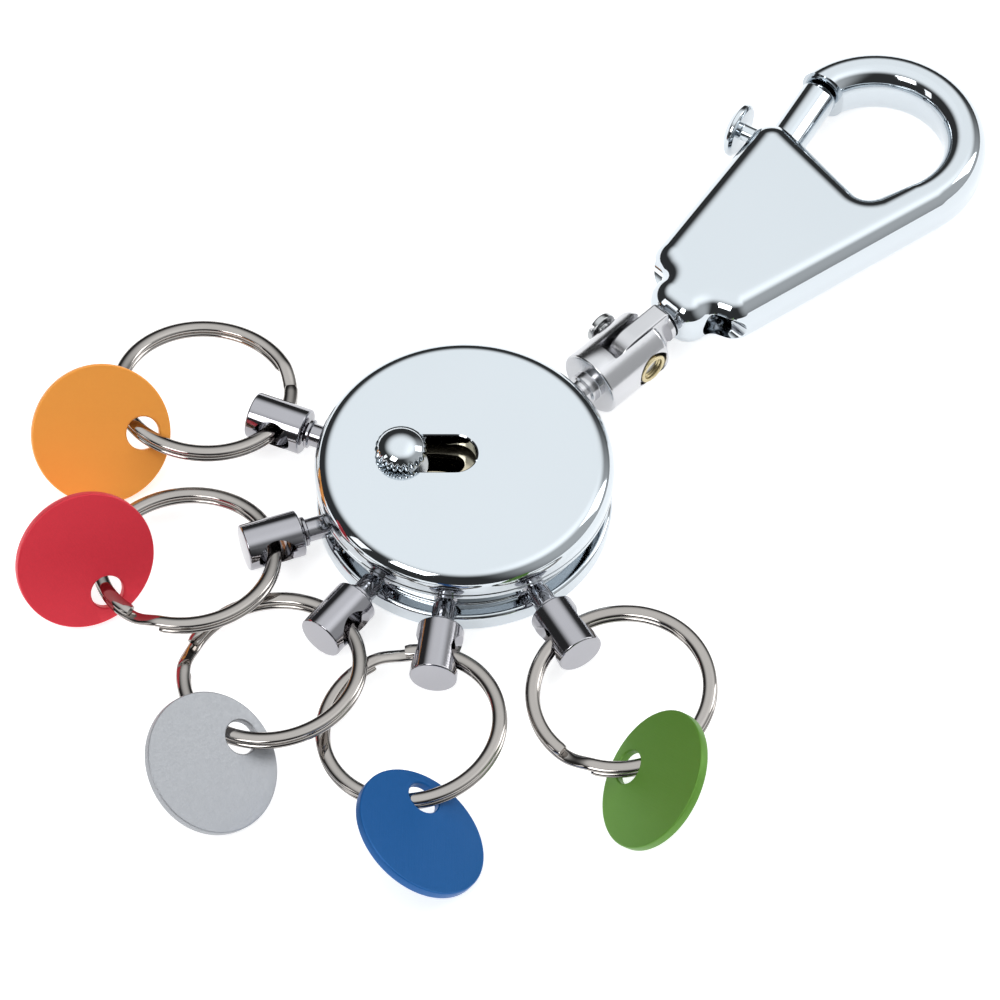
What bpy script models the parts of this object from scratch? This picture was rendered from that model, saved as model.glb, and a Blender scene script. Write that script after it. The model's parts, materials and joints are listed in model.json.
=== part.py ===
"""Key organiser: a chromed drum that releases five ring plugs, and a swivelling snap clip.

Lengths below are in millimetres and are turned into metres by MM. The origin is the centre
of the drum's underside, +Z is up and +X points at the clip.
"""
import math
from math import cos, pi, radians, sin

import bmesh
import bpy
from mathutils import Matrix, Vector

MM = 0.001
GAP = 0.3                     # clearance between pieces that touch

# drum
AXIS_Z = 4.0                  # height of every pin and of the clip's axis
FLANGE_R = 15.8
FLANGE_TOP = 2.35
FLOOR_TOP = 1.2
WALL_R = 14.0
BORE_R = 11.6                 # inside of the drum wall
WALL_TOP = 7.5
COVER_R = 15.9
COVER_TOP = 9.4
COVER_UNDER = 7.8
COVER_SKIRT = 5.95
COVER_FILLET = 2.3
SCREW_CIRCLE = 12.8
SCREW_ANGLES = (52, 170, 308)

# slider and lock
SLIDE_HEADING = radians(-45)  # the way the slider travels, towards the drum's middle
SLIDE_OFFSET = 0.5
SLIDE_START = -6.7
SLIDE_TRAVEL = 5.4
SLOT_WIDTH = 4.6
SLOT_ENDS = (-8.9, 1.3)
BUTTON_R = 2.8
BUTTON_TOP = 11.5
BUTTON_WAIST = 10.3
BUTTON_LOW = 9.7
BUTTON_NECK_R = 1.9
STEM_R = 0.8
LOCK_TURN = radians(16.5)
LOCK_OUTER = BORE_R - GAP
LOCK_INNER = 10.2
LOCK_WEB = (6.1, 6.9)

# plugs: angle about the drum, then the ring's turn, then where its tag hangs and how it lies
PLUG_REACH = 21.5             # drum axis to the cross hole of a plug
PLUG_TILT = radians(8)
PIN_R = 1.25
HEAD_R = 2.5
HEAD_HALF = 3.1
CROSS_HOLE_R = 1.7
PLUGS = (
    ("orange", 112.2, -6, (74, -35, 7, 36)),
    ("red", 153.9, -4, (11, -21, 71, 6)),
    ("silver", 187.1, -10, (28, -17, 9, 46)),
    ("blue", 217.3, -9, (24, -8, 8, 48)),
    ("green", 254.6, 8, (328, 30, 38, -40)),
)

# split rings and tags
RING_R = 10.0
RING_WIDE = 1.5
RING_HIGH = 1.6
RING_MEAN = RING_R - RING_WIDE / 2
TAG_R = 7.5
TAG_THICK = 1.0
TAG_HOLE_R = 2.0
TAG_ARM = 4.5                 # hole centre to tag centre

# fork and tongue
FORK_R = 3.75
FORK_ENDS = (19.0, 27.9)
FORK_SLOT = (21.6, 1.4)       # bottom of the slot, half its width
HINGE_X = 25.4
TONGUE_HALF = 1.1
TONGUE_HIGH = 3.2
TONGUE_END = 30.3

# clip
CLIP_THICK = 6.6
HOOK_CENTRE = (65.0, 0.1)
HOOK_OUTER = 12.0
HOOK_INNER = 7.3
GATE_FRONT = (59.8, 8.2)      # where the plunger leaves the clip body
GATE_ANGLE = radians(15)
GATE_R = 2.15
GATE_TIP = 6.3
GATE_TRAVEL = 6.0
KNOB_BACK = -2.5              # thumb knob's stem, from the gate front along the plunger
KNOB_R = 3.1
PLUNGER_STEP = -8.5           # where the plunger thins to its spring tail
PLUNGER_TAIL = -10.5
SPRING_R = 1.7
SPRING_WIRE = 0.22
SPRING_ENDS = (-16.5, -10.3)

PARTS = bpy.data.collections.new("key_organiser")
CUTTERS = bpy.data.collections.new("cutters")


def clear_scene():
    for item in list(bpy.data.objects):
        bpy.data.objects.remove(item, do_unlink=True)
    bpy.context.scene.collection.children.link(PARTS)
    bpy.context.scene.collection.children.link(CUTTERS)


def metal(name, colour, roughness, metallic=1.0):
    material = bpy.data.materials.new(name)
    material.use_nodes = True
    shader = material.node_tree.nodes["Principled BSDF"]
    shader.inputs["Base Color"].default_value = (*colour, 1.0)
    shader.inputs["Roughness"].default_value = roughness
    shader.inputs["Metallic"].default_value = metallic
    return material


def add_object(name, data, material=None, parent=None, matrix=None, cutter=False):
    item = bpy.data.objects.new(name, data)
    (CUTTERS if cutter else PARTS).objects.link(item)
    if material:
        data.materials.append(material)
    if parent:
        item.parent = parent
    if matrix:
        item.matrix_basis = matrix
    if cutter:
        item.hide_render = True
        item.display_type = "WIRE"
    return item


def add_empty(name, matrix, parent=None):
    item = bpy.data.objects.new(name, None)
    item.empty_display_size = 3 * MM
    PARTS.objects.link(item)
    item.parent = parent
    item.matrix_basis = matrix
    return item


def place(x=0.0, y=0.0, z=0.0, turn=None):
    matrix = Matrix.Translation(Vector((x, y, z)) * MM)
    return matrix @ turn if turn else matrix


def turned_about(axis, angle):
    return Matrix.Rotation(angle, 4, axis)


ALONG_X = turned_about("Y", pi / 2)
ALONG_Y = turned_about("X", -pi / 2)


def turned(name, profile, steps, material=None, parent=None, matrix=None, cutter=False):
    """Spin a profile of (radius, height) points, listed top to bottom, about Z."""
    mesh = bpy.data.meshes.new(name)
    points = [(r * MM, 0, z * MM) for r, z in profile]
    closed = profile[0][0] > 0
    edges = [(i, i + 1) for i in range(len(points) - 1)]
    if closed:
        edges.append((len(points) - 1, 0))
    mesh.from_pydata(points, edges, [])
    item = add_object(name, mesh, material, parent, matrix, cutter)
    screw = item.modifiers.new("Screw", "SCREW")
    screw.axis = "Z"
    screw.angle = 2 * pi
    screw.steps = steps
    screw.render_steps = steps
    screw.use_merge_vertices = True
    screw.merge_threshold = 0.00001
    return item


def rod(name, radius, low, high, matrix=None, steps=24, **where):
    """A plain cylinder along its own Z from low to high."""
    profile = [(0, high), (radius, high), (radius, low), (0, low)]
    return turned(name, profile, steps, matrix=matrix, **where)


def block(name, low, high, matrix=None):
    """A box-shaped cutter between two corners."""
    mesh = bpy.data.meshes.new(name)
    shape = bmesh.new()
    bmesh.ops.create_cube(shape, size=1)
    size = Vector(high) - Vector(low)
    middle = (Vector(high) + Vector(low)) / 2
    bmesh.ops.scale(shape, vec=size * MM, verts=shape.verts)
    bmesh.ops.translate(shape, vec=middle * MM, verts=shape.verts)
    shape.to_mesh(mesh)
    shape.free()
    return add_object(name, mesh, matrix=matrix, cutter=True)


def arc(centre, radius, start, end, step=10):
    """Points of an arc from start to end, both in degrees."""
    count = max(2, math.ceil(abs(end - start) / step))
    angles = [radians(start + (end - start) * i / count) for i in range(count + 1)]
    return [(centre[0] + radius * cos(a), centre[1] + radius * sin(a)) for a in angles]


def rounded(before, corner, after, radius, step=15):
    """Points of the arc that rounds the corner between two straight runs."""
    back = (Vector(before) - Vector(corner)).normalized()
    ahead = (Vector(after) - Vector(corner)).normalized()
    half = back.angle(ahead) / 2
    middle = Vector(corner) + (back + ahead).normalized() * (radius / sin(half))
    first = Vector(corner) + back * (radius / math.tan(half)) - middle
    sweep = first.angle_signed(Vector(corner) + ahead * (radius / math.tan(half)) - middle)
    start = math.degrees(math.atan2(first.y, first.x))
    return arc(middle, radius, start, start - math.degrees(sweep), step)


def plate(name, outline, low, high, material=None, parent=None, matrix=None, cutter=False):
    """A flat outline given thickness from low to high along its own Z."""
    curve = bpy.data.curves.new(name, "CURVE")
    curve.dimensions = "2D"
    curve.fill_mode = "BOTH"
    curve.extrude = (high - low) / 2 * MM
    spline = curve.splines.new("POLY")
    spline.points.add(len(outline) - 1)
    for point, (x, y) in zip(spline.points, outline):
        point.co = (x * MM, y * MM, 0, 1)
    spline.use_cyclic_u = True
    return meshed(name, curve, Matrix.Translation((0, 0, (high + low) / 2 * MM)),
                  material, parent, matrix, cutter)


def meshed(name, curve, shift, material, parent, matrix, cutter=False):
    """Turn a curve into a welded mesh object, moved by shift."""
    source = bpy.data.objects.new(name + "_curve", curve)
    CUTTERS.objects.link(source)
    bpy.context.view_layer.update()
    seen = source.evaluated_get(bpy.context.evaluated_depsgraph_get())
    mesh = bpy.data.meshes.new_from_object(seen)
    bpy.data.objects.remove(source, do_unlink=True)
    shape = bmesh.new()
    shape.from_mesh(mesh)
    bmesh.ops.remove_doubles(shape, verts=shape.verts, dist=0.000001)
    bmesh.ops.recalc_face_normals(shape, faces=shape.faces)
    bmesh.ops.transform(shape, matrix=shift, verts=shape.verts)
    shape.to_mesh(mesh)
    shape.free()
    return add_object(name, mesh, material, parent, matrix, cutter)


def wire(name, points, radius, material, parent=None, matrix=None):
    """A round wire through points, with closed ends."""
    curve = bpy.data.curves.new(name, "CURVE")
    curve.dimensions = "3D"
    curve.bevel_depth = radius * MM
    curve.bevel_resolution = 2
    curve.use_fill_caps = True
    spline = curve.splines.new("POLY")
    spline.points.add(len(points) - 1)
    for point, place_at in zip(spline.points, points):
        point.co = (*(Vector(place_at) * MM), 1)
    return meshed(name, curve, Matrix.Identity(4), material, parent, matrix)


def combine(item, other, operation="DIFFERENCE"):
    modifier = item.modifiers.new(other.name, "BOOLEAN")
    modifier.operation = operation
    modifier.solver = "EXACT"
    modifier.object = other


def soften(item, width, segments=1, limit=50):
    modifier = item.modifiers.new("Bevel", "BEVEL")
    modifier.width = width * MM
    modifier.segments = segments
    modifier.limit_method = "ANGLE"
    modifier.angle_limit = radians(limit)
    modifier.use_clamp_overlap = True


def around(angle, reach=0.0, height=0.0):
    """A frame at an angle about the drum, its X pointing outward."""
    return turned_about("Z", angle) @ place(reach, 0, height)


# ---------------------------------------------------------------- drum

def screw_frames():
    return [around(radians(angle), SCREW_CIRCLE) for angle in SCREW_ANGLES]


def make_housing(chrome):
    profile = [(0, FLOOR_TOP), (BORE_R, FLOOR_TOP), (BORE_R, WALL_TOP), (WALL_R, WALL_TOP),
               (WALL_R, FLANGE_TOP), (FLANGE_R - 0.5, FLANGE_TOP), (FLANGE_R, FLANGE_TOP - 0.5),
               (FLANGE_R, 0.5), (FLANGE_R - 0.5, 0), (0, 0)]
    housing = turned("housing_base", profile, 48, chrome)
    for colour, angle, _turn, _tag in PLUGS:
        frame = around(radians(angle), 0, AXIS_Z) @ ALONG_X
        combine(housing, rod("bore_" + colour, PIN_R + 0.15, 9, 18, frame, cutter=True))
    combine(housing, rod("bore_clip", 1.65, 9, 18, place(z=AXIS_Z, turn=ALONG_X), cutter=True))
    sink = [(0, 9), (0.95, 9), (0.95, 1.1), (1.8, 0.25), (1.8, -1), (0, -1)]
    for index, frame in enumerate(screw_frames()):
        combine(housing, turned(f"screw_hole_{index}", sink, 16, matrix=frame, cutter=True))


def slot_outline(start, end, half_width):
    """A straight slot with round ends along X."""
    right = arc((end, 0), half_width, -90, 90, 30)
    left = arc((start, 0), half_width, 90, 270, 30)
    return right + left


def slide_frame(height=0.0):
    return turned_about("Z", SLIDE_HEADING) @ place(0, SLIDE_OFFSET, height)


def make_cover(chrome):
    fillet = arc((COVER_R - COVER_FILLET, COVER_TOP - COVER_FILLET), COVER_FILLET, 90, 0, 30)
    profile = [(0, COVER_TOP)] + fillet
    profile += [(COVER_R, COVER_SKIRT + 0.3), (COVER_R - 0.3, COVER_SKIRT),
                (WALL_R + GAP, COVER_SKIRT), (WALL_R + GAP, COVER_UNDER), (0, COVER_UNDER)]
    cover = turned("top_cover", profile, 48, chrome)
    half = SLOT_WIDTH / 2
    outline = slot_outline(SLOT_ENDS[0] + half, SLOT_ENDS[1] - half, half)
    combine(cover, plate("cover_slot", outline, 7, 10, matrix=slide_frame(), cutter=True))
    for index, frame in enumerate(screw_frames()):
        combine(cover, rod(f"thread_{index}", 0.95, 7, 8.8, frame, 16, cutter=True))


def make_screws(steel):
    profile = [(0, 8.5), (0.65, 8.5), (0.65, 1.0), (1.4, 0.25), (1.4, 0.0), (0, 0.0)]
    for index, frame in enumerate(screw_frames()):
        turned(f"base_screw_{index + 1}", profile, 16, steel, matrix=frame)


# ---------------------------------------------------------------- slider and lock

def cam_outline(half_width):
    """The slot in the lock ring that the slider's stem drives, in the ring's own frame."""
    path = []
    count = 10
    for i in range(count + 1):
        moved = SLIDE_TRAVEL * i / count
        point = slide_frame() @ (Vector((SLIDE_START + moved, 0, 0)) * MM) / MM
        path.append((turned_about("Z", -LOCK_TURN * i / count) @ point).to_2d())
    sides = []
    for i, point in enumerate(path):
        along = path[min(i + 1, count)] - path[max(i - 1, 0)]
        sides.append((point, math.degrees(math.atan2(along.y, along.x))))
    right = [arc(p, half_width, a - 90, a - 90, 1)[0] for p, a in sides]
    left = [arc(p, half_width, a + 90, a + 90, 1)[0] for p, a in reversed(sides)]
    end = arc(path[-1], half_width, sides[-1][1] - 90, sides[-1][1] + 90, 20)[1:-1]
    start = arc(path[0], half_width, sides[0][1] + 90, sides[0][1] + 270, 20)[1:-1]
    return right + end + left + start


def make_lock(nickel, steel):
    low, high = LOCK_WEB
    profile = [(0, high), (LOCK_OUTER, high), (LOCK_OUTER, FLOOR_TOP + GAP),
               (LOCK_INNER, FLOOR_TOP + GAP), (LOCK_INNER, low), (0, low)]
    ring = turned("lock_ring", profile, 40, nickel)
    combine(ring, plate("cam_slot", cam_outline(1.15), 5, 8, cutter=True))
    window = 1.5                  # radius that lets a plug's inner end through
    neck = 1.05                   # radius that only the pin's neck clears
    for colour, angle, _turn, _tag in PLUGS:
        frame = around(radians(angle), 0, AXIS_Z)
        combine(ring, rod("window_" + colour, window, 9, 13, frame @ ALONG_X, cutter=True))
        side = around(radians(angle) - LOCK_TURN, 0, AXIS_Z)
        combine(ring, rod("neck_" + colour, neck, 9, 13, side @ ALONG_X, 16, cutter=True))
        middle = around(radians(angle) - LOCK_TURN / 2, 0, AXIS_Z)
        combine(ring, block("keyway_" + colour, (9, -1.5, -neck), (13, 1.5, neck), middle))
    gate = around(-LOCK_TURN / 2, 0, 0)
    combine(ring, block("clip_window", (8, -4.4, 1), (13, 4.4, 5.95), gate))
    points = [(8.6 * cos(radians(a)), 8.6 * sin(radians(a)), 1.95) for a in range(70, 291, 20)]
    wire("lock_spring", points, 0.4, steel)


def make_slider(chrome, steel):
    # a low dome on a neck that fills the slot, and a stem that reaches into the lock's cam slot
    crown = [(BUTTON_R * sin(radians(a)), BUTTON_WAIST + (BUTTON_TOP - BUTTON_WAIST) * cos(radians(a)))
             for a in range(0, 91, 18)]
    button = crown + [(BUTTON_R, BUTTON_LOW), (BUTTON_NECK_R, BUTTON_LOW),
                      (BUTTON_NECK_R, 8.0), (STEM_R, 8.0), (STEM_R, 6.3), (0, 6.3)]
    frame = slide_frame() @ place(SLIDE_START)
    turned("slider_button", button, 20, chrome, matrix=frame)
    washer = [(1.1, 7.5), (2.9, 7.5), (2.9, 7.2), (1.1, 7.2)]
    turned("slider_washer", washer, 16, steel, matrix=frame)


# ---------------------------------------------------------------- plugs, rings and tags

def make_plug(colour, angle, chrome):
    """The pin and the swivelling head; returns the head, which carries the ring."""
    station = add_empty("station_" + colour, around(radians(angle), PLUG_REACH, AXIS_Z))
    end = LOCK_INNER - 0.3 - PLUG_REACH
    pin = [(0, -2.2), (1.1, -2.2), (1.1, -2.5), (0.75, -2.5), (0.75, -3.4), (PIN_R, -3.4),
           (PIN_R, -4.0), (0.95, -4.2), (0.95, -4.6), (PIN_R, -4.8), (PIN_R, end + 1.6),
           (0.75, end + 1.5), (0.75, end), (PIN_R, end - 0.1), (PIN_R, end - 1.4),
           (0.5, end - 2.1), (0, end - 2.1)]
    turned("plug_stem_" + colour, pin, 12, chrome, station, ALONG_X)
    shell = [(0, HEAD_HALF), (HEAD_R - 0.3, HEAD_HALF), (HEAD_R, HEAD_HALF - 0.3),
             (HEAD_R, 0.3 - HEAD_HALF), (HEAD_R - 0.3, -HEAD_HALF), (1.05, -HEAD_HALF),
             (1.05, -2.8), (1.4, -2.8), (1.4, -1.95), (0, -1.95)]
    head = turned("plug_head_" + colour, shell, 20, chrome, station,
                  turned_about("X", PLUG_TILT) @ ALONG_X)
    tilted = add_empty("swivel_" + colour, turned_about("X", PLUG_TILT), station)
    hole = rod("cross_hole_" + colour, CROSS_HOLE_R, -4, 4, ALONG_Y, 16,
               parent=tilted, cutter=True)
    combine(head, hole)
    return tilted


def make_ring(colour, turn, steel, parent):
    """A split ring whose wire passes through the plug's cross hole."""
    frame = turned_about("Z", radians(turn)) @ place(RING_MEAN)
    inner = RING_R - RING_WIDE
    half = RING_HIGH / 2
    edge = 0.4
    profile = [(inner + edge, half), (RING_R - edge, half), (RING_R, half - edge),
               (RING_R, edge - half), (RING_R - edge, -half), (inner + edge, -half),
               (inner, edge - half), (inner, half - edge)]
    return turned("split_ring_" + colour, profile, 30, steel, parent, frame)


def make_tag(colour, where, finish, ring):
    """A tag on the ring's wire: where it sits, its skew, its swing and its twist."""
    seat, skew, swing, twist = (radians(value) for value in where)
    frame = turned_about("Z", seat) @ place(RING_MEAN) @ turned_about("Y", -swing)
    frame = frame @ turned_about("Z", skew) @ turned_about("X", twist - pi / 2)
    pivot = add_empty("tag_pivot_" + colour, frame, ring)
    half = TAG_THICK / 2
    tag = rod("tag_" + colour, TAG_R, -half, half, place(TAG_ARM), 32, material=finish,
              parent=pivot)
    combine(tag, rod("tag_hole_" + colour, TAG_HOLE_R, -2, 2, None, 16, parent=pivot,
                     cutter=True))


# ---------------------------------------------------------------- fork and tongue

def make_fork(nickel, steel, brass):
    start, end = FORK_ENDS
    profile = [(0, end), (FORK_R - 0.4, end), (FORK_R, end - 0.4), (FORK_R, start + 0.4),
               (FORK_R - 0.4, start), (1.75, start), (1.75, 18.0), (1.4, 17.8), (1.4, 17.3),
               (1.75, 17.1), (1.75, 16.3), (1.35, 16.3), (1.35, 11.3), (1.0, 11.3),
               (1.0, 10.2), (1.35, 10.2), (1.35, 9.6), (0, 9.6)]
    axis = place(z=AXIS_Z, turn=ALONG_X)
    fork = turned("fork", profile, 24, nickel, matrix=axis)
    bottom, half = FORK_SLOT
    combine(fork, block("fork_slot", (bottom, -half, -1), (end + 1, half, 9)))
    hinge = place(HINGE_X, 0, AXIS_Z, ALONG_Y)
    combine(fork, rod("far_bore", 1.25, 0, 5, hinge, 20, cutter=True))
    combine(fork, rod("near_bore", 2.05, -5, 0, hinge, 20, cutter=True))
    screw = [(0, 4.9), (1.5, 4.9), (1.8, 4.6), (1.8, 4.05), (0.95, 4.05), (0.95, -3.0),
             (0, -3.0)]
    pin = turned("fork_screw", screw, 20, steel, matrix=hinge)
    combine(pin, block("driver_slot", (-3, -0.3, 4.5), (3, 0.3, 6), hinge))
    bush = [(1.25, -1.8), (1.75, -1.8), (1.75, -3.5), (1.25, -3.5)]
    turned("fork_bush", bush, 20, brass, matrix=hinge)
    clip = [(1.3, 11.0), (1.85, 11.0), (1.85, 10.5), (1.3, 10.5)]
    ring = turned("stem_clip", clip, 20, steel, matrix=axis)
    combine(ring, block("clip_mouth", (10, -0.8, 0), (12, 0.8, 4), place(z=AXIS_Z)))


def make_tongue(nickel):
    back = arc((HINGE_X, AXIS_Z), TONGUE_HIGH, 90, 270, 15)
    front = [(TONGUE_END, AXIS_Z - TONGUE_HIGH), (TONGUE_END, AXIS_Z + TONGUE_HIGH)]
    side = Matrix.Rotation(pi / 2, 4, "X")
    blade = plate("tongue", back + front, -TONGUE_HALF, TONGUE_HALF, nickel, matrix=side)
    soften(blade, 0.3)
    stud = [(0, 35.2), (1.2, 35.2), (1.8, 34.8), (1.8, 34.2), (1.3, 34.2), (1.3, 29.0),
            (0, 29.0)]
    frame = place(z=AXIS_Z, turn=ALONG_X)
    combine(blade, turned("stud", stud, 20, matrix=frame, cutter=True), "UNION")
    combine(blade, rod("tongue_bore", 1.3, -3, 3, place(HINGE_X, 0, AXIS_Z, ALONG_Y), 20,
                       cutter=True))


# ---------------------------------------------------------------- snap clip

def clip_outline():
    """The clip body seen from above: lobe, waist, tapered body, hook and eye."""
    lobe, waist, shoulder = (30.7, 3.7), (33.7, 3.7), (35.3, 6.7)
    corner, eye_corner = (59.3, 11.4), (57.3, -4.8)
    edge = (62.8, -11.7)
    inner_end = (62.4, -6.7)

    def mirrored(point):
        return (point[0], -point[1])

    line = rounded(lobe, mirrored(lobe), mirrored(waist), 1.6, 30)
    line += rounded(mirrored(lobe), mirrored(waist), mirrored(shoulder), 0.9, 30)
    line += rounded(mirrored(waist), mirrored(shoulder), edge, 1.6, 30)
    line += arc(HOOK_CENTRE, HOOK_OUTER, -100.7, 87)
    line += arc(HOOK_CENTRE, HOOK_INNER, 74, -111)
    line += rounded(inner_end, eye_corner, corner, 1.6, 30)
    line += rounded(eye_corner, corner, shoulder, 2.0, 30)
    line += rounded(corner, shoulder, waist, 1.6, 30)
    line += rounded(shoulder, waist, lobe, 0.9, 30)
    line += rounded(waist, lobe, mirrored(lobe), 1.6, 30)
    return line


def gate_frame():
    """X along the plunger towards the hook's nose, at the face it leaves the body by."""
    return place(GATE_FRONT[0], GATE_FRONT[1], AXIS_Z, turned_about("Z", GATE_ANGLE))


def make_clip(chrome, steel):
    low = AXIS_Z - CLIP_THICK / 2
    body = plate("clip_body", clip_outline(), low, low + CLIP_THICK, chrome)
    gate = gate_frame() @ ALONG_X
    combine(body, rod("gate_bore", GATE_R + GAP, -17, 3.4, gate, cutter=True))
    back = KNOB_BACK - GATE_TRAVEL - 1.3
    combine(body, block("knob_slot", (back, 0, -1.2), (KNOB_BACK + 1.2, 8, 1.2), gate_frame()))
    frame = place(z=AXIS_Z, turn=ALONG_X)
    combine(body, rod("swivel_bore", 1.6, 29, 35, frame, 20, cutter=True))
    combine(body, block("swivel_window", (33.4, -9, 1.7), (37.2, 9, 6.3)))

    plunger = [(0, GATE_TIP), (GATE_R - 0.3, GATE_TIP), (GATE_R, GATE_TIP - 0.3),
               (GATE_R, PLUNGER_STEP), (1.1, PLUNGER_STEP), (1.1, PLUNGER_TAIL), (0, PLUNGER_TAIL)]
    rod_part = turned("gate_plunger", plunger, 20, chrome, matrix=gate)
    seat = gate_frame() @ place(KNOB_BACK) @ turned_about("Z", pi / 2) @ ALONG_X
    combine(rod_part, rod("knob_seat", 1.2, 0.2, 4, seat, 16, cutter=True))
    knob = [(0, 6.6), (1.8, 6.5), (2.8, 6.1), (KNOB_R, 5.6), (KNOB_R - 0.15, 5.0), (0.9, 4.9),
            (0.9, 0.5), (0, 0.5)]
    turned("thumb_knob", knob, 16, chrome, matrix=seat)
    wire("gate_spring", coil(5, 8, SPRING_R, SPRING_ENDS), SPRING_WIRE, steel, matrix=gate)


def coil(turns, around_turn, radius, ends):
    """Points of a helix along Z between two heights."""
    count = turns * around_turn
    points = []
    for i in range(count + 1):
        angle = 2 * pi * i / around_turn
        height = ends[0] + (ends[1] - ends[0]) * i / count
        points.append((radius * cos(angle), radius * sin(angle), height))
    return points


def shade_parts():
    for item in PARTS.objects:
        if item.type == "MESH":
            item.data.shade_smooth()
            item.data.set_sharp_from_angle(angle=radians(35))


def main():
    clear_scene()
    chrome = metal("chrome", (0.80, 0.82, 0.85), 0.08)
    steel = metal("nickel_steel", (0.62, 0.60, 0.58), 0.22)
    nickel = metal("satin_nickel", (0.66, 0.66, 0.67), 0.28)
    brass = metal("brass", (0.72, 0.56, 0.28), 0.3)
    tags = {
        "orange": metal("orange_anodised", (0.84, 0.30, 0.05), 0.42, 0.5),
        "red": metal("red_anodised", (0.55, 0.03, 0.05), 0.4, 0.5),
        "silver": metal("clear_anodised", (0.58, 0.59, 0.61), 0.45, 0.6),
        "blue": metal("blue_anodised", (0.01, 0.11, 0.34), 0.38, 0.5),
        "green": metal("green_anodised", (0.10, 0.21, 0.03), 0.42, 0.5),
    }
    make_housing(chrome)
    make_cover(chrome)
    make_screws(steel)
    make_lock(nickel, steel)
    make_slider(chrome, steel)
    for colour, angle, turn, where in PLUGS:
        head = make_plug(colour, angle, chrome)
        ring = make_ring(colour, turn, steel, head)
        make_tag(colour, where, tags[colour], ring)
    make_fork(nickel, steel, brass)
    make_tongue(nickel)
    make_clip(chrome, steel)
    shade_parts()


main()
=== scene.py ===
import json
import math
from math import cos, pi, radians, sin

import bmesh
import bpy
from mathutils import Matrix, Vector


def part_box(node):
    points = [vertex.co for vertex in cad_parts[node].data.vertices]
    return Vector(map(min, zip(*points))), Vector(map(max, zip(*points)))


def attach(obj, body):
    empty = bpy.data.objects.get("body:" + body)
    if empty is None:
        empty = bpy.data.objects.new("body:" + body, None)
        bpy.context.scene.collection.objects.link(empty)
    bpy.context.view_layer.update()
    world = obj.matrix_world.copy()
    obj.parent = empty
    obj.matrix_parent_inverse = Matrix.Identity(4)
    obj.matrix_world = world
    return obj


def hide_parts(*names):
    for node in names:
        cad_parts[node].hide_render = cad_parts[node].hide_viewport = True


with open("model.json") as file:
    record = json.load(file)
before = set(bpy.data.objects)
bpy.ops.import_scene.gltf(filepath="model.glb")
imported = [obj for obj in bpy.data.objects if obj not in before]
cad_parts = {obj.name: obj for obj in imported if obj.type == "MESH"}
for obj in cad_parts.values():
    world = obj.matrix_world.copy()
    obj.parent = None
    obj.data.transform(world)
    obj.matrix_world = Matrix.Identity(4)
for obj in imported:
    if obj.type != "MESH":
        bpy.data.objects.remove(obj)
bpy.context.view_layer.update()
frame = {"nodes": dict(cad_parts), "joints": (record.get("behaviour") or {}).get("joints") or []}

mm = 0.001
joints = {joint["name"]: joint for joint in frame["joints"]}
tagColours = ("orange", "red", "silver", "blue", "green")


def turnAbout(axis, angle):
    return Matrix.Rotation(angle, 4, axis)


def axesMatrix(origin, xAxis, zAxis):
    # a frame with Z along zAxis and X as near to xAxis as it can be
    z = Vector(zAxis).normalized()
    x = Vector(xAxis)
    x = (x - z * x.dot(z)).normalized()
    y = z.cross(x)
    matrix = Matrix((x, y, z)).transposed().to_4x4()
    matrix.translation = Vector(origin)
    return matrix


def nodeCentre(node):
    low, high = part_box(node)
    return (Vector(low) + Vector(high)) / 2


def addMesh(name, verts, faces, matrix=None):
    mesh = bpy.data.meshes.new(name)
    mesh.from_pydata([Vector(v) * mm for v in verts], [], faces)
    mesh.validate()
    item = bpy.data.objects.new(name, mesh)
    bpy.context.scene.collection.objects.link(item)
    if matrix:
        item.matrix_world = matrix
    return item


def outward(item):
    shape = bmesh.new()
    shape.from_mesh(item.data)
    bmesh.ops.remove_doubles(shape, verts=shape.verts, dist=1e-7)
    bmesh.ops.recalc_face_normals(shape, faces=shape.faces)
    shape.to_mesh(item.data)
    shape.free()
    return item


def roundCorners(corners, closed=False, step=12):
    # corners are (x, y, radius); each becomes an arc of that radius, as far as its edges allow
    count = len(corners)
    spots = [Vector(corner[:2]) for corner in corners]
    bends = []
    for i, here in enumerate(spots):
        back = (spots[i - 1] - here).normalized()
        ahead = (spots[(i + 1) % count] - here).normalized()
        half = back.angle(ahead, pi) / 2
        plain = corners[i][2] <= 0 or half > radians(88) or (not closed and i in (0, count - 1))
        bends.append((back, ahead, half, 0 if plain else corners[i][2] / math.tan(half)))
    points = []
    for i, here in enumerate(spots):
        back, ahead, half, reach = bends[i]
        if reach == 0:
            points.append(tuple(here))
            continue
        for k in (i - 1, (i + 1) % count):
            room = (spots[k] - here).length * 0.98
            wanted = bends[i][3] + bends[k][3]
            reach = min(reach, bends[i][3] * min(1, room / wanted))
        middle = here + (back + ahead).normalized() * (reach / cos(half))
        first = here + back * reach - middle
        last = here + ahead * reach - middle
        sweep = first.angle_signed(last)
        parts = max(2, math.ceil(abs(math.degrees(sweep)) / step))
        for k in range(parts + 1):
            spoke = first.copy()
            spoke.rotate(Matrix.Rotation(-sweep * k / parts, 2))
            points.append(tuple(middle + spoke))
    return points


def bandFaces(rows):
    # faces between neighbouring rows of a lathe piece; a row at the axis repeats one vertex
    faces = []
    for upper, lower in zip(rows, rows[1:]):
        for i in range(len(upper)):
            j = (i + 1) % len(upper)
            ring = [upper[i], lower[i], lower[j], upper[j]]
            face = [v for k, v in enumerate(ring) if v not in ring[:k]]
            if len(face) > 2:
                faces.append(face)
    return faces


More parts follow.
